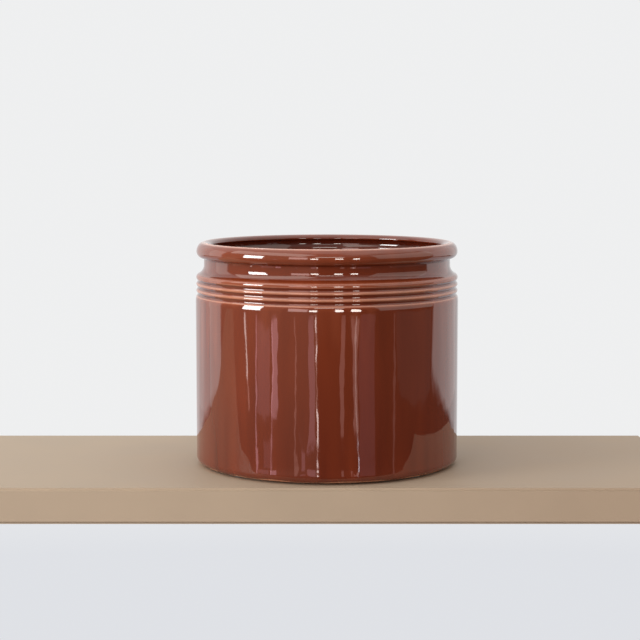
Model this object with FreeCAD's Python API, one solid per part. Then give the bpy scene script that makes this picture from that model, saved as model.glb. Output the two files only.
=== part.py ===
import FreeCAD, Part
import math
import os

# Glazed terracotta flower pot: a fired clay body, an outer and an inner coat of glaze,
# a rubber plug in the drain hole and rubber pads under the foot ring.
# Millimetres and degrees, +Z up. The origin is the centre of the circle that the pot stands on.
# Sizes of the pot are taken on the glazed surface, and the clay lies one glaze thickness below it.

# Whole pot
body_diameter = 200.0
overall_height = 169.2
wall_thickness = 8.0
floor_thickness = 8.0
glaze_thickness = 0.4

# Foot: a rounded lower edge, a standing ring and a recessed underside of bare clay
foot_edge_radius = 6.0
foot_ring_width = 10.0
foot_ring_height = 3.0
foot_recess_fillet = 1.5
glaze_line_angle = 50.0

# Band of turned grooves below the shoulder, and the body's softly rounded upper edge under it
groove_count = 3
groove_pitch = 4.85
groove_depth = 0.9
band_setback = 0.5
body_crown_radius = 15.0
body_crown_angle = 14.0

# Shoulder and neck, outside
shoulder_land = 0.35
shoulder_radius = 3.0
cove_radius = 7.2
neck_depth = 6.3
neck_straight = 4.45
neck_fillet = 0.8

# Rolled rim
rim_setback = 0.7
rim_width = 11.3
rim_crest_rise = 7.2
rim_underside_drop = 4.8
rim_inner_drop = 3.0
lip_underside_drop = 0.9
lip_return = 0.6

# Throat and inside: a hollow under the rim's inner lip, an upright recess and a shallow bulge at the mouth
throat_hollow_radius = 0.5
throat_recess = 2.6
throat_bend_radius = 4.0
throat_bend_angle = 20.0
mouth_bulge_radius = 14.0
mouth_land = 6.4
inner_shoulder_height = 12.5
floor_fillet = 8.0

# Drain hole and its plug
drain_hole_diameter = 20.0
plug_clearance = 0.3
plug_taper = 0.5
plug_tip_reach = 1.0
plug_flange_overlap = 6.0
plug_flange_thickness = 2.5
plug_flange_rounding = 0.8
plug_knob_diameter = 11.0
plug_knob_height = 5.0
plug_knob_rounding = 2.0

# Rubber pads
pad_count = 4
pad_diameter = 9.0
pad_thickness = 1.2

# Places worked out from the sizes above. A rounded edge and the hollow beside it are two arcs
# that touch, so the rise between their centres follows from their radii and their step outwards.
body_radius = body_diameter / 2
foot_bottom = pad_thickness
foot_edge_height = foot_bottom + foot_edge_radius - glaze_thickness
foot_ring_outer = body_radius - foot_edge_radius
foot_ring_inner = foot_ring_outer - foot_ring_width
underside = foot_bottom + foot_ring_height
floor_top = underside + floor_thickness

rim_outer = body_radius - rim_setback
rim_inner = rim_outer - rim_width
rim_crest = (rim_outer + rim_inner) / 2
rim_widest_height = overall_height - rim_crest_rise
rim_underside = rim_widest_height - rim_underside_drop
rim_inner_height = overall_height - rim_inner_drop

band_radius = body_radius - band_setback
neck_radius = body_radius - neck_depth
neck_top = rim_underside - neck_fillet
neck_bottom = neck_top - neck_straight
neck_fillet_centre = neck_radius + neck_fillet
cove_centre = neck_radius + cove_radius
shoulder_centre = band_radius - shoulder_radius
cove_step = cove_centre - shoulder_centre
cove_rise = math.sqrt((cove_radius + shoulder_radius) ** 2 - cove_step ** 2)
cove_angle = math.degrees(math.atan2(cove_rise, cove_step))
shoulder_height = neck_bottom - cove_rise

band_top = shoulder_height - shoulder_land
groove_angle = math.degrees(2 * math.atan(2 * groove_depth / groove_pitch))
groove_radius = groove_pitch / 4 / math.sin(math.radians(groove_angle))
groove_centre = band_radius + groove_radius - groove_depth
lowest_groove_height = band_top - (groove_count - 0.5) * groove_pitch
land_centre = band_radius - groove_radius
crown_centre = body_radius - body_crown_radius
crown_reach = body_crown_radius - groove_radius
body_edge_centre = crown_centre + crown_reach * math.cos(math.radians(body_crown_angle))
edge_step = groove_centre - body_edge_centre
edge_rise = math.sqrt((2 * groove_radius) ** 2 - edge_step ** 2)
body_edge_angle = math.degrees(math.atan2(edge_rise, edge_step))
body_edge_height = lowest_groove_height - edge_rise
band_bottom = body_edge_height - crown_reach * math.sin(math.radians(body_crown_angle))

lip_edge = rim_inner + lip_return
lip_underside = rim_inner_height - lip_underside_drop
hollow_height = lip_underside - throat_hollow_radius
recess_radius = lip_edge + throat_hollow_radius
recess_bottom = hollow_height - throat_recess
throat_bend_centre = recess_radius - throat_bend_radius
throat_reach = throat_bend_radius + mouth_bulge_radius
bulge_centre = throat_bend_centre + throat_reach * math.cos(math.radians(throat_bend_angle))
mouth_radius = bulge_centre - mouth_bulge_radius
mouth_top = recess_bottom - throat_reach * math.sin(math.radians(throat_bend_angle))
mouth_bottom = mouth_top - mouth_land
inner_radius = body_radius - wall_thickness
inner_shoulder_bottom = mouth_bottom - inner_shoulder_height

drain_radius = drain_hole_diameter / 2
plug_radius = drain_radius - plug_clearance
plug_tip_height = underside - plug_tip_reach
plug_flange_radius = drain_radius + plug_flange_overlap
plug_flange_top = floor_top + plug_flange_thickness
plug_knob_top = plug_flange_top + plug_knob_height
plug_knob_radius = plug_knob_diameter / 2
pad_circle_radius = (foot_ring_outer + foot_ring_inner) / 2


def at(radius, height):
    """A point of a section, by its distance from the axis and its height."""
    return FreeCAD.Vector(radius, 0, height)


def on_circle(centre, radius, angle):
    """The point of a circle in the section plane at an angle from the outward direction."""
    turn = math.radians(angle)
    return centre + at(radius * math.cos(turn), radius * math.sin(turn))


def line(start, end):
    return Part.LineSegment(start, end).toShape()


def arc(centre, radius, first_angle, last_angle):
    middle_angle = (first_angle + last_angle) / 2
    points = [on_circle(centre, radius, angle) for angle in (first_angle, middle_angle, last_angle)]
    return Part.Arc(*points).toShape()


def quarter_oval(start, corner, end):
    """An exact quarter ellipse from start to end, tangent to both sides of the corner."""
    curve = Part.BezierCurve()
    curve.setPoles([start, corner, end])
    curve.setWeight(2, math.sqrt(0.5))
    return curve.toShape()


def double_bend(top_radius, bottom_radius, top, bottom, depth):
    """Two equal arcs from an upper upright wall out to a wider lower one, at a depth below the glaze.

    The clay lies outwards of the curve. The walls are given by radius on the glazed surface.
    """
    half_step = (bottom_radius - top_radius) / 2
    half_drop = (top - bottom) / 2
    bend_radius = (half_drop ** 2 + half_step ** 2) / (2 * half_step)
    angle = math.degrees(math.asin(half_drop / bend_radius))
    return [
        arc(at(top_radius + bend_radius, top), bend_radius - depth, 180, 180 + angle),
        arc(at(bottom_radius - bend_radius, bottom), bend_radius + depth, angle, 0),
    ]


def groove_band(depth):
    """The body's rounded upper edge, the grooves and the lands between them, up to the shoulder's land."""
    crown = at(crown_centre, band_bottom)
    body_edge = at(body_edge_centre, body_edge_height)
    lowest_groove = at(groove_centre, lowest_groove_height)
    edges = [
        arc(crown, body_crown_radius - depth, 0, body_crown_angle),
        arc(body_edge, groove_radius - depth, body_crown_angle, body_edge_angle),
        arc(lowest_groove, groove_radius + depth, 180 + body_edge_angle, 180 - groove_angle),
    ]
    for index in range(1, groove_count):
        groove = lowest_groove + at(0, index * groove_pitch)
        land = at(land_centre, groove.z - groove_pitch / 2)
        edges.append(arc(land, groove_radius - depth, -groove_angle, groove_angle))
        edges.append(arc(groove, groove_radius + depth, 180 + groove_angle, 180 - groove_angle))
    edges.append(arc(at(land_centre, band_top), groove_radius - depth, -groove_angle, 0))
    return edges


def outer_section(depth):
    """The outside from the glaze line on the foot up to the rim's crest, at a depth below the glaze."""
    skin = body_radius - depth
    band = band_radius - depth
    neck = neck_radius - depth
    rim_side = at(rim_outer - depth, rim_widest_height)
    rim_low = at(neck_fillet_centre, rim_underside + depth)
    rim_top = at(rim_crest, overall_height - depth)
    foot_edge = at(foot_ring_outer, foot_edge_height)
    shoulder = at(shoulder_centre, shoulder_height)
    cove = at(cove_centre, neck_bottom)
    fillet = at(neck_fillet_centre, neck_top)
    return [
        arc(foot_edge, foot_edge_radius - depth, -glaze_line_angle, 0),
        line(at(skin, foot_edge_height), at(skin, band_bottom)),
        *groove_band(depth),
        line(at(band, band_top), at(band, shoulder_height)),
        arc(shoulder, shoulder_radius - depth, 0, cove_angle),
        arc(cove, cove_radius + depth, 180 + cove_angle, 180),
        line(at(neck, neck_bottom), at(neck, neck_top)),
        arc(fillet, neck_fillet + depth, 180, 90),
        quarter_oval(rim_low, at(rim_side.x, rim_low.z), rim_side),
        quarter_oval(rim_side, at(rim_side.x, rim_top.z), rim_top),
    ]


def inner_section(depth):
    """The inside from the rim's crest down to the edge of the drain hole, at a depth below the glaze."""
    rim_top = at(rim_crest, overall_height - depth)
    rim_side = at(rim_inner + depth, rim_inner_height)
    lip_low = at(lip_edge, lip_underside + depth)
    hollow = at(lip_edge, hollow_height)
    recess = recess_radius + depth
    bend = at(throat_bend_centre, recess_bottom)
    bulge = at(bulge_centre, mouth_top)
    mouth = mouth_radius + depth
    wall = inner_radius + depth
    floor = floor_top - depth
    corner = at(inner_radius - floor_fillet, floor_top + floor_fillet)
    return [
        quarter_oval(rim_top, at(rim_side.x, rim_top.z), rim_side),
        quarter_oval(rim_side, at(rim_side.x, lip_low.z), lip_low),
        arc(hollow, throat_hollow_radius + depth, 90, 0),
        line(at(recess, hollow_height), at(recess, recess_bottom)),
        arc(bend, throat_bend_radius + depth, 0, -throat_bend_angle),
        arc(bulge, mouth_bulge_radius - depth, 180 - throat_bend_angle, 180),
        line(at(mouth, mouth_top), at(mouth, mouth_bottom)),
        *double_bend(mouth_radius, inner_radius, mouth_bottom, inner_shoulder_bottom, depth),
        line(at(wall, inner_shoulder_bottom), at(wall, corner.z)),
        arc(corner, floor_fillet + depth, 0, -90),
        line(at(corner.x, floor), at(drain_radius, floor)),
    ]


def turned(edges):
    """The solid that a closed section makes when it is turned about the axis."""
    outline = Part.Wire(Part.__sortEdges__(edges))
    return Part.Face(outline).revolve(at(0, 0), FreeCAD.Vector(0, 0, 1), 360)


def clay_body():
    """The fired clay shell, bare below the glaze line and in the recess under the floor."""
    foot_edge = at(foot_ring_outer, foot_edge_height)
    recess_corner = at(foot_ring_inner - foot_recess_fillet, underside - foot_recess_fillet)
    bare = [
        line(at(drain_radius, floor_top - glaze_thickness), at(drain_radius, underside)),
        line(at(drain_radius, underside), at(recess_corner.x, underside)),
        arc(recess_corner, foot_recess_fillet, 90, 0),
        line(at(foot_ring_inner, recess_corner.z), at(foot_ring_inner, foot_bottom)),
        line(at(foot_ring_inner, foot_bottom), at(foot_ring_outer, foot_bottom)),
        arc(foot_edge, foot_edge_radius - glaze_thickness, -90, -glaze_line_angle),
    ]
    return turned(outer_section(glaze_thickness) + inner_section(glaze_thickness) + bare)


def outer_glaze():
    """The coat on the outside, from the glaze line on the foot to the rim's crest."""
    foot_edge = at(foot_ring_outer, foot_edge_height)
    lower_end = line(
        on_circle(foot_edge, foot_edge_radius, -glaze_line_angle),
        on_circle(foot_edge, foot_edge_radius - glaze_thickness, -glaze_line_angle),
    )
    return turned(outer_section(0) + [rim_seam(), lower_end] + outer_section(glaze_thickness))


def inner_glaze():
    """The coat on the inside, from the rim's crest to the edge of the drain hole."""
    hole_end = line(at(drain_radius, floor_top), at(drain_radius, floor_top - glaze_thickness))
    return turned(inner_section(0) + [rim_seam(), hole_end] + inner_section(glaze_thickness))


def rim_seam():
    """The line at the rim's crest where the two coats meet."""
    return line(at(rim_crest, overall_height), at(rim_crest, overall_height - glaze_thickness))


def drain_plug():
    """A tapered rubber plug: its flange lies on the floor, and a round knob lifts it out."""
    tip = plug_radius - plug_taper
    flange_edge = at(plug_flange_radius - plug_flange_rounding, plug_flange_top - plug_flange_rounding)
    knob_edge = at(plug_knob_radius - plug_knob_rounding, plug_knob_top - plug_knob_rounding)
    return turned([
        line(at(0, plug_tip_height), at(tip, plug_tip_height)),
        line(at(tip, plug_tip_height), at(plug_radius, floor_top)),
        line(at(plug_radius, floor_top), at(plug_flange_radius, floor_top)),
        line(at(plug_flange_radius, floor_top), at(plug_flange_radius, flange_edge.z)),
        arc(flange_edge, plug_flange_rounding, 0, 90),
        line(at(flange_edge.x, plug_flange_top), at(plug_knob_radius, plug_flange_top)),
        line(at(plug_knob_radius, plug_flange_top), at(plug_knob_radius, knob_edge.z)),
        arc(knob_edge, plug_knob_rounding, 0, 90),
        line(at(knob_edge.x, plug_knob_top), at(0, plug_knob_top)),
        line(at(0, plug_knob_top), at(0, plug_tip_height)),
    ])


def foot_pad(index):
    """One rubber disc, glued to the bare clay of the foot ring."""
    turn = math.radians(360 / pad_count * (index + 0.5))
    centre = FreeCAD.Vector(pad_circle_radius * math.cos(turn), pad_circle_radius * math.sin(turn), 0)
    return Part.makeCylinder(pad_diameter / 2, pad_thickness, centre)


def main():
    nodes = {
        "clay_body": clay_body(),
        "outer_glaze": outer_glaze(),
        "inner_glaze": inner_glaze(),
        "drain_plug": drain_plug(),
    }
    for index in range(pad_count):
        nodes[f"foot_pad_{index + 1}"] = foot_pad(index)
    os.makedirs("parts", exist_ok=True)
    for name, shape in nodes.items():
        box = shape.BoundBox
        print(f"{name}: valid {shape.isValid()}, solids {len(shape.Solids)}, {shape.Volume:.1f} mm3, "
              f"{box.XLength:.2f} x {box.YLength:.2f} x {box.ZLength:.2f} mm, from {box.ZMin:.2f}")
        shape.exportStep(f"parts/{name}.step")


main()
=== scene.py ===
import math

import bmesh
import bpy
import numpy as np
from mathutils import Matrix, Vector


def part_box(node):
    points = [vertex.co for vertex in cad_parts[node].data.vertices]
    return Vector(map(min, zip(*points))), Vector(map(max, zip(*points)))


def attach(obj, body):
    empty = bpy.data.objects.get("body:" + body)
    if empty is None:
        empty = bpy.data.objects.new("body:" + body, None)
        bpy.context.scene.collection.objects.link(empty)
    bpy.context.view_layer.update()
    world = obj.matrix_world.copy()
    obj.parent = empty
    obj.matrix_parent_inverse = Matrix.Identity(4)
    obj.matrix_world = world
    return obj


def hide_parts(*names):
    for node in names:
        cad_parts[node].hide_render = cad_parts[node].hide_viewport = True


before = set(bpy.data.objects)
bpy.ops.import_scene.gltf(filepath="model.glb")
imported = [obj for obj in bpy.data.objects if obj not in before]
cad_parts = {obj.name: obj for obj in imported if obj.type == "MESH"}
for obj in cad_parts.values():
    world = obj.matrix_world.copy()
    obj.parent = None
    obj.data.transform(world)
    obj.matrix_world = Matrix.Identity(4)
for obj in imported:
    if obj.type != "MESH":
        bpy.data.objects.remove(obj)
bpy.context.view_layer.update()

# Looks of a glazed terracotta flower pot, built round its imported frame. Metres and degrees, +Z up.
# Every piece is turned about the Z axis from a section. A section is a run of rows, and each row has
# its radius, its height, the two parts of its outward normal and its bend, which is one over the
# radius of the curve: above zero on a rounded edge and below zero in a hollow.
RADIUS, HEIGHT, OUT, UP, BEND = range(5)

# Sizes read from the frame
_, glaze_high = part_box("outer_glaze")
lining_low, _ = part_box("inner_glaze")
clay_low, clay_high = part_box("clay_body")
plug_low, plug_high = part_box("drain_plug")
body_radius = glaze_high.x
overall_height = glaze_high.z
glaze_thickness = glaze_high.z - clay_high.z
foot_bottom = clay_low.z
floor_top = lining_low.z + glaze_thickness

# Foot
foot_edge_radius = 0.006
foot_ring_width = 0.010
foot_ring_height = 0.003
foot_recess_fillet = 0.0015
foot_ring_rounding = 0.0006
glaze_line_angle = 50

# Band of turned grooves
groove_count = 3
groove_pitch = 0.00485
groove_depth = 0.0009
band_setback = 0.0005
body_crown_radius = 0.015
body_crown_angle = 14

# Shoulder and neck
shoulder_land = 0.00035
shoulder_radius = 0.003
cove_radius = 0.0072
neck_depth = 0.0063
neck_straight = 0.00445
neck_fillet = 0.0008

# Rolled rim
rim_setback = 0.0007
rim_width = 0.0113
rim_crest_rise = 0.0072
rim_underside_drop = 0.0048
rim_inner_drop = 0.003
lip_underside_drop = 0.0009
lip_return = 0.0006

# Throat and inside
throat_hollow_radius = 0.0005
throat_recess = 0.0026
throat_bend_radius = 0.004
throat_bend_angle = 20
mouth_bulge_radius = 0.014
mouth_land = 0.0064
wall_thickness = 0.008
inner_shoulder_height = 0.0125
floor_fillet = 0.008
drain_radius = 0.010

# Places worked out from the sizes above
foot_edge_height = foot_bottom + foot_edge_radius - glaze_thickness
foot_ring_outer = body_radius - foot_edge_radius
foot_ring_inner = foot_ring_outer - foot_ring_width
underside = foot_bottom + foot_ring_height
rim_outer = body_radius - rim_setback
rim_inner = rim_outer - rim_width
rim_crest = (rim_outer + rim_inner) / 2
rim_half_width = rim_width / 2
rim_widest_height = overall_height - rim_crest_rise
rim_underside = rim_widest_height - rim_underside_drop
rim_inner_height = overall_height - rim_inner_drop
band_radius = body_radius - band_setback
neck_radius = body_radius - neck_depth
neck_top = rim_underside - neck_fillet
neck_bottom = neck_top - neck_straight
neck_fillet_centre = neck_radius + neck_fillet
cove_centre = neck_radius + cove_radius
shoulder_centre = band_radius - shoulder_radius
cove_step = cove_centre - shoulder_centre
cove_rise = math.sqrt((cove_radius + shoulder_radius) ** 2 - cove_step ** 2)
cove_angle = math.degrees(math.atan2(cove_rise, cove_step))
shoulder_height = neck_bottom - cove_rise
band_top = shoulder_height - shoulder_land
groove_angle = math.degrees(2 * math.atan(2 * groove_depth / groove_pitch))
groove_radius = groove_pitch / 4 / math.sin(math.radians(groove_angle))
groove_centre = band_radius + groove_radius - groove_depth
land_centre = band_radius - groove_radius
lowest_groove_height = band_top - (groove_count - 0.5) * groove_pitch
crown_centre = body_radius - body_crown_radius
crown_reach = body_crown_radius - groove_radius
body_edge_centre = crown_centre + crown_reach * math.cos(math.radians(body_crown_angle))
edge_step = groove_centre - body_edge_centre
edge_rise = math.sqrt((2 * groove_radius) ** 2 - edge_step ** 2)
body_edge_angle = math.degrees(math.atan2(edge_rise, edge_step))
body_edge_height = lowest_groove_height - edge_rise
band_bottom = body_edge_height - crown_reach * math.sin(math.radians(body_crown_angle))
lip_edge = rim_inner + lip_return
lip_underside = rim_inner_height - lip_underside_drop
hollow_height = lip_underside - throat_hollow_radius
recess_radius = lip_edge + throat_hollow_radius
recess_bottom = hollow_height - throat_recess
throat_bend_centre = recess_radius - throat_bend_radius
throat_reach = throat_bend_radius + mouth_bulge_radius
bulge_centre = throat_bend_centre + throat_reach * math.cos(math.radians(throat_bend_angle))
mouth_radius = bulge_centre - mouth_bulge_radius
mouth_top = recess_bottom - throat_reach * math.sin(math.radians(throat_bend_angle))
mouth_bottom = mouth_top - mouth_land
inner_radius = body_radius - wall_thickness
inner_shoulder_bottom = mouth_bottom - inner_shoulder_height

# How finely the pieces are turned, and the angle from which an edge stays creased
segments = 360
clay_segments = 240
plug_segments = 96
pad_segments = 64
hidden_row_step = 4
body_row_height = 0.002
merge_distance = 1e-7
crease_angle = 40

# Waves of the coats, which are weaker above the body. Each set has a seed, a count, its fewest and most
# waves round the pot and how fast they lean on their way up, in radians per metre.
broad_waves = dict(seed=11, count=14, fewest=5, most=14, lean=9)
fine_waves = dict(seed=12, count=26, fewest=16, most=55, lean=45)
line_waves = dict(seed=13, count=9, fewest=3, most=23, lean=0)
lining_waves = dict(seed=21, count=12, fewest=4, most=12, lean=20)
broad_wave_height = 0.00005
fine_wave_height = 0.00002
lining_wave_height = 0.00003
upper_wave_loss = 0.85

# Turning rings under the lining and on the bare underside. A pair of values runs from where the rings
# begin to where they are full: by how level the clay lies, by radius and by distance from the foot's edge.
lining_ring_height = 0.00003
lining_ring_pitch = 0.011
lining_ring_lean = 0.15
underside_ring_height = 0.00003
underside_ring_pitch = 0.0026
underside_ring_slopes = (0.3, 0.9)
underside_ring_radii = (0.012, 0.016)
underside_ring_margins = (0.004, 0.006)

# Line where the outer coat ends above the foot: it wanders, thins out and has a bead above it
line_wander = 0.0005
line_wander_reach = 0.006
line_taper = 0.0009
line_thickness_loss = 0.8
line_bead = 0.00016
line_bead_width = 0.0035

# Runs of thicker glaze on the body: two at the front, by their angle from +X, and the rest by a draw
front_runs = (
    dict(angle=-99.7, thickness=0.00013, top=0.042, bottom=0.007, top_width=0.0012, bottom_width=0.0034),
    dict(angle=-76.7, thickness=0.00010, top=0.030, bottom=0.009, top_width=0.0010, bottom_width=0.0018),
)
run_rise_share = 0.6
drawn_run_seed = 31
drawn_run_count = 9
drawn_run_angles = (-36, 144)
drawn_run_tops = (0.03, 0.11)
drawn_run_bottom_shares = (0.15, 0.6)
drawn_run_top_width = 0.0010
drawn_run_bottom_widths = (0.0014, 0.0032)
drawn_run_thicknesses = (0.00006, 0.00013)

# How thin the glaze lies, which sets its colour, with painted light and shade added in: shares of the way
# from pooled to bare.
# Sharpness is one over a radius, and a drop says how far down from the crest its share fades out.
sharp_bend = 420
bend_smoothing = 6
outer_hollow_weight = 0.45
lining_edge_weight = 0.1
lining_hollow_weight = 1
rim_thinness = 0.08
edge_thinness = 0.93
# A pale line along the rim's crest: painted highlight
crest_painted_highlight = 0.45
crest_drop = 0.0013
lining_crest_drop = 0.0002
# Up-facing slopes of the grooves made paler: painted light from above
upslope_painted_light = 0.22
line_thinness = 0.9
broad_wave_tone = 0.05
fine_wave_tone = 0.03
# The body darker towards the foot: painted shade for the weaker light low down
painted_shade_below = 0.26
# The lining is darker below its crest by this share
darker_inside = 0.34


def at(radius, height):
    """A point of a section."""
    return np.array([radius, height])


def line_rows(start, end, steps):
    """Rows along a straight stretch. The outward side is on the right of the way it runs."""
    share = np.linspace(0, 1, steps + 1)[:, None]
    along = (end - start) / np.linalg.norm(end - start)
    normal = np.tile([along[1], -along[0]], (steps + 1, 1))
    return np.hstack([start + (end - start) * share, normal, np.zeros((steps + 1, 1))])


def arc_rows(centre, radius, first_angle, last_angle, steps):
    """Rows along an arc: a rounded edge where the radius is above zero, else a hollow."""
    turn = np.radians(np.linspace(first_angle, last_angle, steps + 1))
    out = np.column_stack([np.cos(turn), np.sin(turn)])
    bend = np.full((steps + 1, 1), 1 / radius)
    return np.hstack([centre + abs(radius) * out, np.sign(radius) * out, bend])


def oval_rows(centre, half_width, half_height, first_angle, last_angle, steps):
    """Rows along a part of an oval that bulges outwards."""
    turn = np.radians(np.linspace(first_angle, last_angle, steps + 1))
    out, up = np.cos(turn), np.sin(turn)
    points = centre + np.column_stack([half_width * out, half_height * up])
    normal = np.column_stack([half_height * out, half_width * up])
    length = np.linalg.norm(normal, axis=1, keepdims=True)
    return np.hstack([points, normal / length, half_width * half_height / length ** 3])


def double_bend_rows(top_radius, bottom_radius, top, bottom, steps):
    """Rows down the inside, from an upper upright wall out to a wider lower one by two equal arcs."""
    half_step = (bottom_radius - top_radius) / 2
    half_drop = (top - bottom) / 2
    bend_radius = (half_drop ** 2 + half_step ** 2) / (2 * half_step)
    angle = math.degrees(math.asin(half_drop / bend_radius))
    return [
        arc_rows(at(top_radius + bend_radius, top), bend_radius, 180, 180 + angle, steps),
        arc_rows(at(bottom_radius - bend_radius, bottom), -bend_radius, angle, 0, steps),
    ]


def joined(stretches):
    """One run of rows from stretches that meet end to end, with each meeting point kept once."""
    return np.vstack([stretches[0]] + [rows[1:] for rows in stretches[1:]])


def moved(rows, depth):
    """The same rows at a depth below the surface."""
    deeper = rows.copy()
    deeper[:, RADIUS] -= depth * rows[:, OUT]
    deeper[:, HEIGHT] -= depth * rows[:, UP]
    return deeper


def groove_rows():
    """The body's rounded upper edge, the grooves and the lands between them, up to the shoulder's land."""
    crown = at(crown_centre, band_bottom)
    body_edge = at(body_edge_centre, body_edge_height)
    groove = at(groove_centre, lowest_groove_height)
    stretches = [
        arc_rows(crown, body_crown_radius, 0, body_crown_angle, 9),
        arc_rows(body_edge, groove_radius, body_crown_angle, body_edge_angle, 7),
        arc_rows(groove, -groove_radius, 180 + body_edge_angle, 180 - groove_angle, 9),
    ]
    for _ in range(1, groove_count):
        groove = groove + at(0, groove_pitch)
        land = at(land_centre, groove[1] - groove_pitch / 2)
        stretches.append(arc_rows(land, groove_radius, -groove_angle, groove_angle, 9))
        stretches.append(arc_rows(groove, -groove_radius, 180 + groove_angle, 180 - groove_angle, 9))
    stretches.append(arc_rows(at(land_centre, band_top), groove_radius, -groove_angle, 0, 5))
    return stretches


def outer_rows():
    """The outside, from the glaze line on the foot up to the rim's crest."""
    foot_edge = at(foot_ring_outer, foot_edge_height)
    body_steps = round((band_bottom - foot_edge_height) / body_row_height)
    rim_low = at(neck_fillet_centre, rim_widest_height)
    rim_low_width = rim_outer - neck_fillet_centre
    rim_top = at(rim_crest, rim_widest_height)
    return joined([
        arc_rows(foot_edge, foot_edge_radius, -glaze_line_angle, 0, 12),
        line_rows(at(body_radius, foot_edge_height), at(body_radius, band_bottom), body_steps),
        *groove_rows(),
        line_rows(at(band_radius, band_top), at(band_radius, shoulder_height), 2),
        arc_rows(at(shoulder_centre, shoulder_height), shoulder_radius, 0, cove_angle, 8),
        arc_rows(at(cove_centre, neck_bottom), -cove_radius, 180 + cove_angle, 180, 12),
        line_rows(at(neck_radius, neck_bottom), at(neck_radius, neck_top), 3),
        arc_rows(at(neck_fillet_centre, neck_top), -neck_fillet, 180, 90, 8),
        oval_rows(rim_low, rim_low_width, rim_underside_drop, -90, 0, 11),
        oval_rows(rim_top, rim_half_width, rim_crest_rise, 0, 90, 20),
    ])


def inner_rows():
    """The inside, from the rim's crest down to the edge of the drain hole."""
    rim_top = at(rim_crest, rim_inner_height)
    bulge = at(bulge_centre, mouth_top)
    corner = at(inner_radius - floor_fillet, floor_top + floor_fillet)
    wall_steps = round((inner_shoulder_bottom - corner[1]) / (2 * body_row_height))
    floor_steps = round((corner[0] - drain_radius) / (2 * body_row_height))
    return joined([
        oval_rows(rim_top, rim_half_width, rim_inner_drop, 90, 180, 16),
        oval_rows(at(lip_edge, rim_inner_height), lip_return, lip_underside_drop, 180, 270, 6),
        arc_rows(at(lip_edge, hollow_height), -throat_hollow_radius, 90, 0, 6),
        line_rows(at(recess_radius, hollow_height), at(recess_radius, recess_bottom), 2),
        arc_rows(at(throat_bend_centre, recess_bottom), -throat_bend_radius, 0, -throat_bend_angle, 4),
        arc_rows(bulge, mouth_bulge_radius, 180 - throat_bend_angle, 180, 6),
        line_rows(at(mouth_radius, mouth_top), at(mouth_radius, mouth_bottom), 3),
        *double_bend_rows(mouth_radius, inner_radius, mouth_bottom, inner_shoulder_bottom, 8),
        line_rows(at(inner_radius, inner_shoulder_bottom), at(inner_radius, corner[1]), wall_steps),
        arc_rows(corner, -floor_fillet, 0, -90, 20),
        line_rows(at(corner[0], floor_top), at(drain_radius, floor_top), floor_steps),
    ])


def turns(columns):
    """The angle of each segment about the Z axis."""
    return 2 * math.pi * np.arange(columns) / columns


def turned_mesh(name, radius, height, closed):
    """A mesh turned from a section that may differ from segment to segment.

    Both arrays have one line per row and one column per segment. A closed section is a ring, and an
    open one starts and ends on the axis.
    """
    rows, columns = radius.shape
    turn = turns(columns)
    points = np.stack([radius * np.cos(turn), radius * np.sin(turn), height], axis=-1)
    index = np.arange(rows * columns).reshape(rows, columns)
    beside = np.roll(index, -1, axis=1)
    above, above_beside = np.roll(index, -1, axis=0), np.roll(beside, -1, axis=0)
    faces = np.stack([index, beside, above_beside, above], axis=-1)
    if not closed:
        faces = faces[:-1]
    mesh = bpy.data.meshes.new(name)
    mesh.from_pydata(points.reshape(-1, 3).tolist(), [], faces.reshape(-1, 4).tolist())
    return mesh


def shade(mesh, material):
    """One material on a smooth mesh whose sharp edges stay creased."""
    mesh.shade_smooth()
    mesh.set_sharp_from_angle(angle=math.radians(crease_angle))
    mesh.materials.append(material)


def finished_piece(mesh, body, node, material):
    """A piece of the pot that rides on a body and stands for one node of the frame."""
    shade(mesh, material)
    piece = bpy.data.objects.new(mesh.name, mesh)
    bpy.context.scene.collection.objects.link(piece)
    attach(piece, body)
    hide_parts(node)


def waves(turn, height, seed, count, fewest, most, lean):
    """A sum of seeded waves that close round the pot, with a mean square of 1."""
    draw = np.random.default_rng(seed)
    total = 0
    for _ in range(count):
        around = draw.integers(fewest, most, endpoint=True)
        up = draw.normal(0, lean)
        total = total + np.cos(around * turn + up * height + draw.uniform(0, 2 * math.pi))
    return total / math.sqrt(count / 2)


def smoothed(values, times):
    """Values along a section with each one drawn towards its neighbours, several times over."""
    for _ in range(times):
        padded = np.concatenate([values[:1], values, values[-1:]])
        values = (padded[:-2] + 2 * values + padded[2:]) / 4
    return values


def eased(low, high, value):
    """A smooth step from 0 at low to 1 at high."""
    share = np.clip((value - low) / (high - low), 0, 1)
    return share * share * (3 - 2 * share)


def glaze_run(turn, height, angle, thickness, top, bottom, top_width, bottom_width):
    """A run of thicker glaze, which widens on its way down and ends round."""
    share = np.clip((top - height) / (top - bottom), 0, 1)
    width = top_width + (bottom_width - top_width) * share
    aside = (np.mod(turn - math.radians(angle) + math.pi, 2 * math.pi) - math.pi) * body_radius
    across = np.exp(-(aside / width) ** 2)
    begun = eased(top, top - run_rise_share * (top - bottom), height)
    not_ended = eased(bottom - bottom_width, bottom + bottom_width, height)
    return thickness * (across * begun * not_ended)


def glaze_runs(turn, height):
    """All the runs on the body together."""
    total = sum(glaze_run(turn, height, **run) for run in front_runs)
    draw = np.random.default_rng(drawn_run_seed)
    for _ in range(drawn_run_count):
        angle = draw.uniform(*drawn_run_angles)
        top = draw.uniform(*drawn_run_tops)
        bottom = top * draw.uniform(*drawn_run_bottom_shares)
        width = draw.uniform(*drawn_run_bottom_widths)
        thickness = draw.uniform(*drawn_run_thicknesses)
        total = total + glaze_run(turn, height, angle, thickness, top, bottom, drawn_run_top_width, width)
    return total


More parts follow.
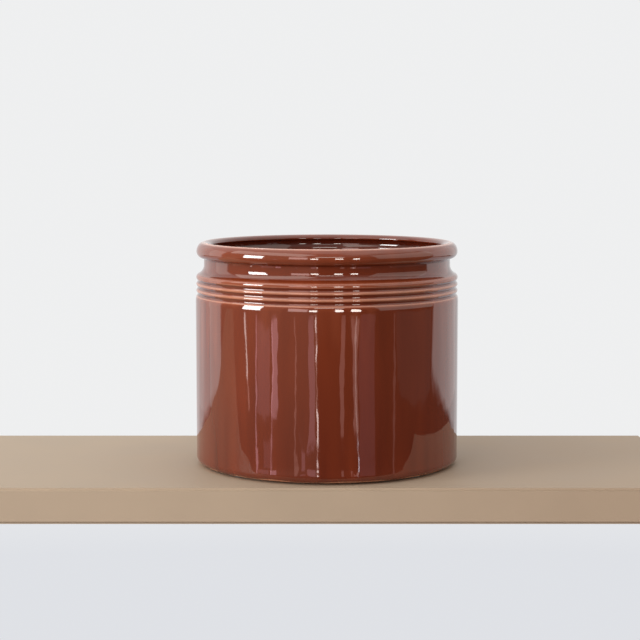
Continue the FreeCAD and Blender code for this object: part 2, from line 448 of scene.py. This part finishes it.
def coat_mesh(name, rows, lift, slide, thinness_and_painted_light):
    """A coat of glaze: its surface lifted and slid by the given amounts, and its hidden side on the clay."""
    surface_radius = rows[:, [RADIUS]] + rows[:, [OUT]] * lift - rows[:, [UP]] * slide
    surface_height = rows[:, [HEIGHT]] + rows[:, [UP]] * lift + rows[:, [OUT]] * slide
    kept = np.unique(np.append(np.arange(0, len(rows), hidden_row_step), len(rows) - 1))[::-1]
    back = moved(rows, glaze_thickness)[kept]
    back_radius = back[:, [RADIUS]] - back[:, [UP]] * slide[kept]
    back_height = back[:, [HEIGHT]] + back[:, [OUT]] * slide[kept]
    mesh = turned_mesh(
        name,
        np.vstack([surface_radius, back_radius]),
        np.vstack([surface_height, back_height]),
        closed=True,
    )
    values = np.vstack([thinness_and_painted_light, thinness_and_painted_light[kept]])
    layer = mesh.attributes.new("thinness_and_painted_light", "FLOAT", "POINT")
    layer.data.foreach_set("value", values.astype(np.float32).ravel())
    return mesh


def bend_thinness(rows, edge_weight, hollow_weight):
    """How thin the glaze lies by its section alone: 1 on a sharp edge, 0 in a hollow, 0.5 on a flat."""
    bend = rows[:, BEND] / sharp_bend
    thinned = np.tanh(bend ** 2)
    thinned = np.where(bend > 0, edge_weight * thinned, -hollow_weight * thinned)
    return 0.5 + 0.5 * smoothed(thinned, bend_smoothing)[:, None]


def outer_coat(material):
    """The coat on the outside, from its line above the foot up to the rim's crest."""
    rows = outer_rows()
    turn = turns(segments)
    height = rows[:, [HEIGHT]]
    from_line = np.cumsum(np.hypot(*np.diff(rows[:, :2], axis=0, prepend=rows[:1, :2]).T))[:, None]
    ending = 1 - eased(0, line_taper, from_line)
    on_foot_edge = 1 - eased(foot_edge_height, 2 * foot_edge_height, height)
    on_body = 1 - upper_wave_loss * eased((band_bottom + body_edge_height) / 2, body_edge_height, height)
    on_grooves = eased(band_bottom, body_edge_height, height)
    on_grooves = on_grooves * (1 - eased(band_top, shoulder_height, height))
    on_rim = eased(neck_top, rim_widest_height, height)
    on_crest = eased(overall_height - crest_drop, overall_height, height)
    broad = waves(turn, height, **broad_waves)
    fine = waves(turn, height, **fine_waves)
    lift = on_body * (broad_wave_height * broad + fine_wave_height * fine) + glaze_runs(turn, height)
    lift = lift - lift.max()
    lift = lift + line_bead * np.exp(-((from_line - line_bead_width) / line_bead_width) ** 2)
    lift = lift * (1 - ending) - line_thickness_loss * glaze_thickness * ending
    slide = line_wander * waves(turn, height, **line_waves) * (1 - eased(0, line_wander_reach, from_line))
    thinness_and_painted_light = bend_thinness(rows, (1 - on_rim - on_foot_edge)[:, 0], outer_hollow_weight)
    # Paler on the up-facing slopes of the grooves: painted light from above
    thinness_and_painted_light = thinness_and_painted_light + rim_thinness * on_rim + upslope_painted_light * on_grooves * rows[:, [UP]]
    # Darker towards the foot: painted shade for the weaker light low on the body
    thinness_and_painted_light = thinness_and_painted_light - painted_shade_below * (1 - eased(foot_bottom, band_bottom, height))
    thinness_and_painted_light = thinness_and_painted_light - on_body * (broad_wave_tone * broad + fine_wave_tone * fine)
    # A pale line along the crest: painted highlight
    thinness_and_painted_light = np.minimum(thinness_and_painted_light, edge_thinness) + crest_painted_highlight * on_crest
    thinness_and_painted_light = np.maximum(thinness_and_painted_light, line_thinness * ending ** 2)
    mesh = coat_mesh("glaze_outside", rows, lift, slide, thinness_and_painted_light)
    finished_piece(mesh, "pot", "outer_glaze", material)


def inner_coat(material):
    """The coat on the inside, from the rim's crest down to the drain hole."""
    rows = inner_rows()
    turn = turns(segments)
    height = rows[:, [HEIGHT]]
    below_throat = 1 - eased(inner_shoulder_bottom, mouth_bottom, height)
    below_crest = 1 - eased(rim_inner_height, overall_height, height)
    on_crest = eased(overall_height - lining_crest_drop, overall_height, height)
    along = height + lining_ring_lean * rows[:, [RADIUS]]
    rings = np.cos(2 * math.pi * along / lining_ring_pitch + turn)
    broad = waves(turn, height, **lining_waves)
    lift = below_throat * (lining_ring_height * rings + lining_wave_height * broad)
    lift = lift - lift.max() * below_throat
    slide = np.zeros_like(lift)
    thinness_and_painted_light = bend_thinness(rows, lining_edge_weight, lining_hollow_weight)
    # The lining is darker below its crest
    thinness_and_painted_light = thinness_and_painted_light + rim_thinness - (rim_thinness + darker_inside) * below_crest
    # A pale line along the lining's crest: painted highlight
    thinness_and_painted_light = thinness_and_painted_light + crest_painted_highlight * on_crest - broad_wave_tone * broad * below_throat
    mesh = coat_mesh("glaze_inside", rows, lift, slide, thinness_and_painted_light)
    finished_piece(mesh, "pot", "inner_glaze", material)


def clay_shell(material):
    """The fired clay: hidden under the coats, with its foot and its turned underside bare."""
    foot_edge = at(foot_ring_outer, foot_edge_height)
    corner = at(foot_ring_inner - foot_recess_fillet, underside - foot_recess_fillet)
    inner_edge = at(foot_ring_inner + foot_ring_rounding, foot_bottom + foot_ring_rounding)
    hole_edge = at(drain_radius + foot_ring_rounding, underside + foot_ring_rounding)
    hidden = [moved(rows, glaze_thickness) for rows in (outer_rows(), inner_rows())]
    hidden = [np.vstack([rows[:-1:hidden_row_step], rows[-1:]]) for rows in hidden]
    bare = joined([
        line_rows(at(drain_radius, floor_top - glaze_thickness), at(drain_radius, hole_edge[1]), 8),
        arc_rows(hole_edge, foot_ring_rounding, 180, 270, 4),
        line_rows(at(hole_edge[0], underside), at(corner[0], underside), 120),
        arc_rows(corner, -foot_recess_fillet, 90, 0, 6),
        line_rows(at(foot_ring_inner, corner[1]), at(foot_ring_inner, inner_edge[1]), 2),
        arc_rows(inner_edge, foot_ring_rounding, 180, 270, 4),
        line_rows(at(inner_edge[0], foot_bottom), at(foot_ring_outer, foot_bottom), 16),
        arc_rows(foot_edge, foot_edge_radius - glaze_thickness, -90, -glaze_line_angle, 8),
    ])
    radius = bare[:, [RADIUS]]
    level = eased(*underside_ring_slopes, -bare[:, [UP]])
    off_hole = eased(*underside_ring_radii, radius)
    off_edge = eased(*underside_ring_margins, foot_ring_outer - radius)
    rings = np.cos(2 * math.pi * radius / underside_ring_pitch + turns(clay_segments))
    cut = underside_ring_height * level * off_hole * off_edge * (rings - 1)
    section = np.vstack([hidden[0], hidden[1][1:], bare[1:-1]])
    lift = np.zeros((len(section), clay_segments))
    lift[-len(bare) + 2:] = cut[1:-1]
    mesh = turned_mesh(
        "clay_shell",
        section[:, [RADIUS]] + section[:, [OUT]] * lift,
        section[:, [HEIGHT]] + section[:, [UP]] * lift,
        closed=True,
    )
    finished_piece(mesh, "pot", "clay_body", material)


def solid_of_revolution(name, rows, columns):
    """A closed mesh from a section that starts and ends on the axis."""
    spread = np.ones((1, columns))
    mesh = turned_mesh(name, rows[:, [RADIUS]] * spread, rows[:, [HEIGHT]] * spread, closed=False)
    shape = bmesh.new()
    shape.from_mesh(mesh)
    bmesh.ops.remove_doubles(shape, verts=shape.verts, dist=merge_distance)
    shape.to_mesh(mesh)
    shape.free()
    return mesh


def drain_plug(material):
    """The rubber plug: a ribbed shank, a flange that lies on the floor and a waisted knob."""
    tip_radius = 0.0092
    shank_radius = 0.0097
    rib_count = 3
    rib_depth = 0.0005
    flange_radius = plug_high.x
    flange_thickness = 0.0025
    flange_rounding = 0.0008
    knob_radius = 0.0055
    knob_rounding = 0.0018
    waist_radius = 0.0041
    waist_hollow = 0.0016
    dimple_radius = 0.0022
    dimple_depth = 0.0005
    tip_rounding = 0.0008
    shank_steps = 32
    flange_top = floor_top + flange_thickness
    knob_top = plug_high.z
    shank_low = plug_low.z + tip_rounding
    share = np.linspace(0, 1, shank_steps + 1)
    shank = line_rows(at(tip_radius, shank_low), at(shank_radius, floor_top), shank_steps)
    shank[:, RADIUS] -= rib_depth * np.sin(rib_count * math.pi * share) ** 2
    flange_edge = at(flange_radius - flange_rounding, flange_top - flange_rounding)
    waist = at(waist_radius + waist_hollow, flange_top + waist_hollow)
    head = at(knob_radius - knob_rounding, knob_top - knob_rounding)
    dimple = line_rows(at(head[0], knob_top), at(0, knob_top), 12)
    dimple[:, HEIGHT] -= dimple_depth * np.exp(-(dimple[:, RADIUS] / dimple_radius) ** 2)
    rows = joined([
        line_rows(at(0, plug_low.z), at(tip_radius - tip_rounding, plug_low.z), 3),
        arc_rows(at(tip_radius - tip_rounding, shank_low), tip_rounding, -90, 0, 5),
        shank,
        line_rows(at(shank_radius, floor_top), at(flange_radius, floor_top), 3),
        line_rows(at(flange_radius, floor_top), at(flange_radius, flange_edge[1]), 2),
        arc_rows(flange_edge, flange_rounding, 0, 90, 6),
        line_rows(at(flange_edge[0], flange_top), at(waist[0], flange_top), 4),
        arc_rows(waist, -waist_hollow, 270, 180, 7),
        line_rows(at(waist_radius, waist[1]), at(knob_radius, head[1] - knob_rounding / 2), 4),
        line_rows(at(knob_radius, head[1] - knob_rounding / 2), at(knob_radius, head[1]), 1),
        arc_rows(head, knob_rounding, 0, 90, 8),
        dimple,
    ])
    mesh = solid_of_revolution("rubber_plug", rows, plug_segments)
    finished_piece(mesh, "plug", "drain_plug", material)


def foot_pad(node, material):
    """A rubber disc with rounded edges, glued under the foot ring."""
    low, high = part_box(node)
    radius = (high.x - low.x) / 2
    thickness = high.z - low.z
    rounding = thickness / 4
    edge = radius - rounding
    rows = joined([
        line_rows(at(0, 0), at(edge, 0), 4),
        arc_rows(at(edge, rounding), rounding, -90, 0, 5),
        line_rows(at(radius, rounding), at(radius, thickness - rounding), 2),
        arc_rows(at(edge, thickness - rounding), rounding, 0, 90, 5),
        line_rows(at(edge, thickness), at(0, thickness), 4),
    ])
    mesh = solid_of_revolution(node.replace("foot_pad", "rubber_pad"), rows, pad_segments)
    centre = (low + high) / 2
    for vertex in mesh.vertices:
        vertex.co += Vector((centre.x, centre.y, low.z))
    finished_piece(mesh, "pot", node, material)


class Nodes:
    """A material or world with the few node steps that the finishes below share."""

    def __init__(self, owner):
        owner.use_nodes = True
        self.tree = owner.node_tree
        self.tree.nodes.clear()

    def add(self, kind, **settings):
        node = self.tree.nodes.new("ShaderNode" + kind)
        for name, value in settings.items():
            setattr(node, name, value)
        return node

    def link(self, source, target):
        self.tree.links.new(source, target)

    def place(self, stretch):
        """The place on the object, with each axis stretched."""
        where = self.add("TexCoord")
        scaled = self.add("Mapping")
        scaled.inputs["Scale"].default_value = stretch
        self.link(where.outputs["Object"], scaled.inputs["Vector"])
        return scaled.outputs["Vector"]

    def noise(self, scale, stretch=(1, 1, 1), detail=2.0):
        texture = self.add("TexNoise")
        texture.inputs["Scale"].default_value = scale
        texture.inputs["Detail"].default_value = detail
        self.link(self.place(stretch), texture.inputs["Vector"])
        return texture.outputs["Fac"]

    def ranged(self, value, low, high, new_low=0, new_high=1):
        """A value taken from one range to another, which it doesn't leave."""
        step = self.add("MapRange")
        names = ("From Min", "From Max", "To Min", "To Max")
        for name, number in zip(names, (low, high, new_low, new_high)):
            step.inputs[name].default_value = number
        self.link(value, step.inputs["Value"])
        return step.outputs["Result"]

    def varied(self, noise, low, high):
        """The middle of a noise's range, spread between two values."""
        middle = (0.3, 0.7)
        return self.ranged(noise, *middle, low, high)

    def ramp(self, value, stops):
        step = self.add("ValToRGB")
        elements = step.color_ramp.elements
        while len(elements) < len(stops):
            elements.new(0.5)
        for element, (place, colour) in zip(elements, stops):
            element.position = place
            element.color = (*colour, 1)
        self.link(value, step.inputs["Fac"])
        return step.outputs["Color"]

    def times(self, colour, factor):
        """A colour made lighter or darker by a factor that varies over the surface."""
        step = self.add("Mix", data_type="RGBA", blend_type="MULTIPLY")
        step.inputs["Factor"].default_value = 1
        self.link(colour, step.inputs["A"])
        self.link(factor, step.inputs["B"])
        return step.outputs["Result"]

    def combined(self, operation, first, second):
        step = self.add("Math", operation=operation)
        self.link(first, step.inputs[0])
        self.link(second, step.inputs[1])
        return step.outputs["Value"]

    def product(self, first, second):
        return self.combined("MULTIPLY", first, second)

    def larger(self, first, second):
        return self.combined("MAXIMUM", first, second)

    def vector_step(self, operation, vector, constant=(0, 0, 0)):
        step = self.add("VectorMath", operation=operation)
        step.inputs[1].default_value = constant
        self.link(vector, step.inputs[0])
        return step.outputs

    def parts(self, vector):
        """The X, Y and Z parts of a vector, by name."""
        step = self.add("SeparateXYZ")
        self.link(vector, step.inputs["Vector"])
        return step.outputs

    def blended(self, factor, first, second):
        """A colour that goes from the first to the second. Each is a colour or the end of another step."""
        step = self.add("Mix", data_type="RGBA")
        self.link(factor, step.inputs["Factor"])
        for name, colour in (("A", first), ("B", second)):
            if isinstance(colour, tuple):
                step.inputs[name].default_value = (*colour, 1)
            else:
                self.link(colour, step.inputs[name])
        return step.outputs["Result"]

    def bump(self, height, distance):
        step = self.add("Bump")
        step.inputs["Distance"].default_value = distance
        self.link(height, step.inputs["Height"])
        return step.outputs["Normal"]

    def surface(self, colour, roughness, normal, ior=1.5):
        shader = self.add("BsdfPrincipled")
        shader.inputs["IOR"].default_value = ior
        self.link(colour, shader.inputs["Base Color"])
        self.link(roughness, shader.inputs["Roughness"])
        self.link(normal, shader.inputs["Normal"])
        output = self.add("OutputMaterial")
        self.link(shader.outputs["BSDF"], output.inputs["Surface"])


def glaze_material(name, smoothest, roughest):
    """Brick-red glaze: dark where it pools, and pale orange where it thins over an edge of the clay. The
    same ramp also shows the painted highlight, painted light and painted shade that the coats carry.
    """
    material = bpy.data.materials.new(name)
    nodes = Nodes(material)
    thinness_and_painted_light = nodes.add("Attribute", attribute_name="thinness_and_painted_light").outputs["Fac"]
    colour = nodes.ramp(thinness_and_painted_light, [
        (0.00, (0.060, 0.008, 0.003)),
        (0.20, (0.126, 0.019, 0.006)),
        (0.50, (0.157, 0.025, 0.007)),
        (0.72, (0.260, 0.060, 0.025)),
        (0.93, (0.430, 0.170, 0.102)),
        (1.00, (0.600, 0.340, 0.270)),
    ])
    streaks = nodes.varied(nodes.noise(90, stretch=(1, 1, 0.12)), 0.92, 1.08)
    clouds = nodes.varied(nodes.noise(22, stretch=(1, 1, 0.5)), 0.93, 1.07)
    colour = nodes.times(nodes.times(colour, streaks), clouds)
    roughness = nodes.varied(nodes.noise(60, stretch=(1, 1, 0.4)), smoothest, roughest)
    ripple = nodes.bump(nodes.noise(95, stretch=(1, 1, 0.35)), distance=0.00008)
    nodes.surface(colour, roughness, ripple, ior=1.72)
    return material


def clay_material():
    """Bare fired clay with grog, fine pits and a dusty face."""
    material = bpy.data.materials.new("fired clay")
    nodes = Nodes(material)
    grain = nodes.noise(900, detail=5)
    colour = nodes.ramp(grain, [
        (0.30, (0.330, 0.130, 0.065)),
        (0.50, (0.450, 0.200, 0.110)),
        (0.72, (0.580, 0.310, 0.190)),
    ])
    clouds = nodes.varied(nodes.noise(35), 0.88, 1.1)
    roughness = nodes.varied(grain, 0.78, 0.95)
    pits = nodes.bump(nodes.noise(1400, detail=3), distance=0.00008)
    nodes.surface(nodes.times(colour, clouds), roughness, pits)
    return material


def rubber_material(name, colour):
    """Dark moulded rubber with a faint bloom."""
    bloom_gain = 1.6
    bloom_haze = 0.01
    material = bpy.data.materials.new(name)
    nodes = Nodes(material)
    bloom = nodes.noise(140, detail=4)
    paler = [bloom_gain * part + bloom_haze for part in colour]
    tone = nodes.ramp(bloom, [(0.35, colour), (0.75, paler)])
    roughness = nodes.varied(bloom, 0.48, 0.68)
    skin = nodes.bump(nodes.noise(1800), distance=0.00002)
    nodes.surface(tone, roughness, skin)
    return material


def floor_material():
    """A plain pale floor with a matt face, darker towards the right: painted shade, as if lit from the left.
    """
    painted_shade_reach = 0.3
    material = bpy.data.materials.new("pale floor")
    nodes = Nodes(material)
    mottle = nodes.noise(18, detail=3)
    aside = nodes.parts(nodes.place((1, 1, 1)))["X"]
    # Painted shade: the floor darker towards the right, away from the light on the left
    tone = nodes.ramp(nodes.ranged(aside, -painted_shade_reach, painted_shade_reach), [
        (0.2, (0.46, 0.365, 0.27)),
        (0.8, (0.40, 0.305, 0.22)),
    ])
    tone = nodes.times(tone, nodes.varied(mottle, 0.97, 1.03))
    roughness = nodes.varied(mottle, 0.6, 0.7)
    tooth = nodes.bump(nodes.noise(700), distance=0.00002)
    nodes.surface(tone, roughness, tooth)
    return material


def make_floor():
    """The plain floor: a slab that the pot stands on."""
    left, right = -1.5, 0.262
    front, back = -0.108, 0.117
    thickness = 0.026
    rounding = 0.002
    rounding_steps = 3
    shape = bmesh.new()
    bmesh.ops.create_cube(shape, size=1)
    for vertex in shape.verts:
        vertex.co.x = left if vertex.co.x < 0 else right
        vertex.co.y = front if vertex.co.y < 0 else back
        vertex.co.z = -thickness if vertex.co.z < 0 else 0
    bmesh.ops.bevel(shape, geom=shape.edges[:], offset=rounding, segments=rounding_steps, affect="EDGES")
    mesh = bpy.data.meshes.new("floor")
    shape.to_mesh(mesh)
    shape.free()
    shade(mesh, floor_material())
    floor = bpy.data.objects.new("floor", mesh)
    bpy.context.scene.collection.objects.link(floor)


def direction(azimuth, elevation):
    """A direction from the pot: azimuth 0 is towards the viewer and grows to the viewer's right."""
    turn, rise = math.radians(azimuth), math.radians(elevation)
    return Vector((math.sin(turn) * math.cos(rise), -math.cos(turn) * math.cos(rise), math.sin(rise)))


def softbox(name, azimuth, elevation, spread, rise, radiance, colour=(1, 1, 1)):
    """A soft panel far off that faces the pot.

    Its place is an azimuth and an elevation, and its spread and its rise are the angles that it spans as
    seen from the pot. All are in degrees.
    """
    distance = 12.0
    centre = Vector((0, 0, overall_height / 2))
    lamp = bpy.data.lights.new(name, "AREA")
    lamp.shape = "RECTANGLE"
    lamp.size = 2 * distance * math.tan(math.radians(spread / 2))
    lamp.size_y = 2 * distance * math.tan(math.radians(rise / 2))
    lamp.energy = math.pi * lamp.size * lamp.size_y * radiance
    lamp.color = colour
    panel = bpy.data.objects.new(name, lamp)
    towards = direction(azimuth, elevation)
    panel.location = centre + distance * towards
    panel.rotation_mode = "QUATERNION"
    panel.rotation_quaternion = towards.to_track_quat("Z", "Y")
    panel.visible_camera = False
    bpy.context.scene.collection.objects.link(panel)


def make_windows():
    """A window-like key on the left, windows in front and the white walls behind, which light the pot."""
    warm, rosy = (1.0, 0.95, 0.88), (1.0, 0.72, 0.68)
    softbox("key window", -67, 9, 19.4, 20, 16.0)
    softbox("front window left", -11.1, 3.5, 6.7, 9, 13.0, warm)
    softbox("front window middle", 9.9, 3.5, 6.8, 9, 13.0, warm)
    softbox("front window right", 24.6, 3.5, 5.6, 9, 13.0, warm)
    softbox("front window low", -24.8, 8, 17, 18, 3.4, rosy)
    softbox("front rail", 2, 20, 24, 5, 4.0, warm)
    softbox("upper room left", -60, 42, 70, 28, 1.8, warm)
    softbox("upper room right", 62, 52, 60, 20, 0.5, warm)
    softbox("right room", 74, 18, 60, 34, 0.75, warm)
    softbox("haze far right", 82, -7, 40, 3.5, 0.08)
    softbox("left wall edge", -115, 8, 20, 34, 0.55, warm)
    softbox("left wall", -138, 8, 26, 34, 0.15, warm)
    softbox("right wall", 128, 8, 48, 34, 0.2, rosy)


def make_strips():
    """Upright slivers of light low in front, which draw the long streaks on the wall of the pot."""
    rosy, mauve = (1.0, 0.56, 0.50), (1.0, 0.53, 0.62)
    blush, lavender = (1.0, 0.84, 0.80), (0.92, 0.88, 1.0)
    softbox("strip far left", -95, -6.2, 4.0, 1.8, 1.2, rosy)
    softbox("strip left", -73.5, -6.7, 1.3, 2.4, 4.5, blush)
    softbox("strip left tail", -73, -8.3, 1.2, 1.2, 1.6, rosy)
    softbox("strip left inner", -62.2, -8.3, 1.2, 5.2, 2.2, mauve)
    softbox("haze left", -55.5, -7.5, 11, 3.2, 0.6, mauve)
    softbox("haze left low", -52, -10.4, 11, 0.9, 0.4, mauve)
    softbox("strip mid left", -45.8, -7.4, 4.4, 3.4, 1.9, mauve)
    softbox("strip mid left edge", -47.6, -8.4, 0.8, 5.2, 1.6, mauve)
    softbox("strip front haze", -27.8, -8.3, 0.9, 5.2, 1.0, rosy)
    softbox("haze front low", -21.5, -10.5, 7.5, 1.0, 0.9, mauve)
    softbox("strip front left", -12.5, -7.9, 4.6, 4.4, 1.0, mauve)
    softbox("sliver front left", -8.6, -8.4, 0.8, 6.0, 1.5, rosy)
    for elevation, rise in ((-6.0, 0.4), (-6.95, 0.5), (-9.5, 1.2), (-10.9, 0.3)):
        softbox("glint front left", -8.5, elevation, 0.9, rise, 6.0, blush)
    softbox("strip front right", 13.3, -7.8, 4.0, 4.2, 1.0, rosy)
    softbox("strip right", 23.6, -7.7, 4.4, 4.0, 1.2, rosy)
    softbox("sliver right", 23.8, -7.7, 1.0, 4.4, 1.5, blush)
    softbox("glint right", 24.6, -10.5, 2.4, 0.7, 6.0, lavender)
    softbox("haze right", 33.5, -8.2, 13, 5.4, 0.32, mauve)
    softbox("strip far right", 59.8, -8.4, 1.5, 6.0, 0.5, rosy)


def make_world():
    """A pale wall behind the pot, a pale ceiling and a dim room in front, which is lighter on the left.

    Low on the wall a dim band, its foot, runs at a slight tilt. It leaves out the middle, behind the pot.
    Each edge is a range of a direction's share to the right, to the back or up, from where a colour begins
    to where it is full.
    """
    dim = (0.10, 0.085, 0.075)
    dimmer = (0.06, 0.055, 0.05)
    lit = (0.38, 0.33, 0.28)
    pale = (0.86, 0.865, 0.87)
    pale_below = (0.74, 0.755, 0.79)
    upper = (0.36, 0.35, 0.335)
    ceiling = (1.0, 0.98, 0.95)
    dim_edge = (-0.20, -0.09)
    upper_edge = (0.2, 0.5)
    ceiling_edge = (0.8, 0.9)
    left_edge = (-0.125, -0.15)
    left_height_edge = (-0.21, -0.09)
    left_low_share = 0.4
    wall_edge = (0.235, 0.275)
    middle_edge = (0.75, 0.83)
    foot_tilt = (0, 0.052, 1)
    foot_top_edge = (-0.126, -0.118)
    foot_bottom_edge = (-0.19, -0.205)
    shade_edge = (-0.12, -0.18)
    world = bpy.data.worlds.new("studio")
    bpy.context.scene.world = world
    nodes = Nodes(world)
    towards = nodes.add("TexCoord").outputs["Generated"]
    share = nodes.parts(towards)
    aside, up = share["X"], share["Z"]
    level = nodes.vector_step("MULTIPLY", towards, (1, 1, 0))["Vector"]
    heading = nodes.vector_step("NORMALIZE", level)["Vector"]
    back = nodes.parts(heading)["Y"]
    above_foot = nodes.vector_step("DOT_PRODUCT", towards, foot_tilt)["Value"]
    on_left = nodes.ranged(up, *left_height_edge, left_low_share, 1)
    on_left = nodes.product(nodes.ranged(aside, *left_edge), on_left)
    off_foot = nodes.ranged(above_foot, *foot_top_edge)
    off_foot = nodes.larger(off_foot, nodes.ranged(above_foot, *foot_bottom_edge))
    off_foot = nodes.larger(off_foot, nodes.ranged(back, *middle_edge))
    on_wall = nodes.product(nodes.ranged(back, *wall_edge), off_foot)
    wall = nodes.blended(nodes.ranged(above_foot, *shade_edge), pale, pale_below)
    colour = nodes.blended(nodes.ranged(up, *dim_edge), dimmer, dim)
    colour = nodes.blended(on_left, colour, lit)
    colour = nodes.blended(nodes.ranged(up, *upper_edge), colour, upper)
    colour = nodes.blended(on_wall, colour, wall)
    colour = nodes.blended(nodes.ranged(up, *ceiling_edge), colour, ceiling)
    background = nodes.add("Background")
    nodes.link(colour, background.inputs["Color"])
    output = nodes.add("OutputWorld")
    nodes.link(background.outputs["Background"], output.inputs["Surface"])


def make_camera():
    """The viewer of the photograph: a little above the pot and level from side to side."""
    distance, height, aside = 1.360, 0.252, -0.0053
    downward_tilt = 6.0
    lens, sensor = 100.7, 36.0
    data = bpy.data.cameras.new("camera")
    data.lens = lens
    data.sensor_width = sensor
    camera = bpy.data.objects.new("camera", data)
    camera.location = (aside, -distance, height)
    camera.rotation_euler = (math.radians(90 - downward_tilt), 0, 0)
    bpy.context.scene.collection.objects.link(camera)
    bpy.context.scene.camera = camera


def main():
    bpy.context.scene.view_settings.view_transform = "Standard"
    outer_coat(glaze_material("outer glaze", smoothest=0.02, roughest=0.045))
    inner_coat(glaze_material("inner glaze", smoothest=0.05, roughest=0.10))
    clay_shell(clay_material())
    drain_plug(rubber_material("plug rubber", (0.045, 0.040, 0.036)))
    pad_rubber = rubber_material("pad rubber", (0.050, 0.045, 0.040))
    for node in sorted(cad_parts):
        if node.startswith("foot_pad"):
            foot_pad(node, pad_rubber)
    make_floor()
    make_windows()
    make_strips()
    make_world()
    make_camera()


main()
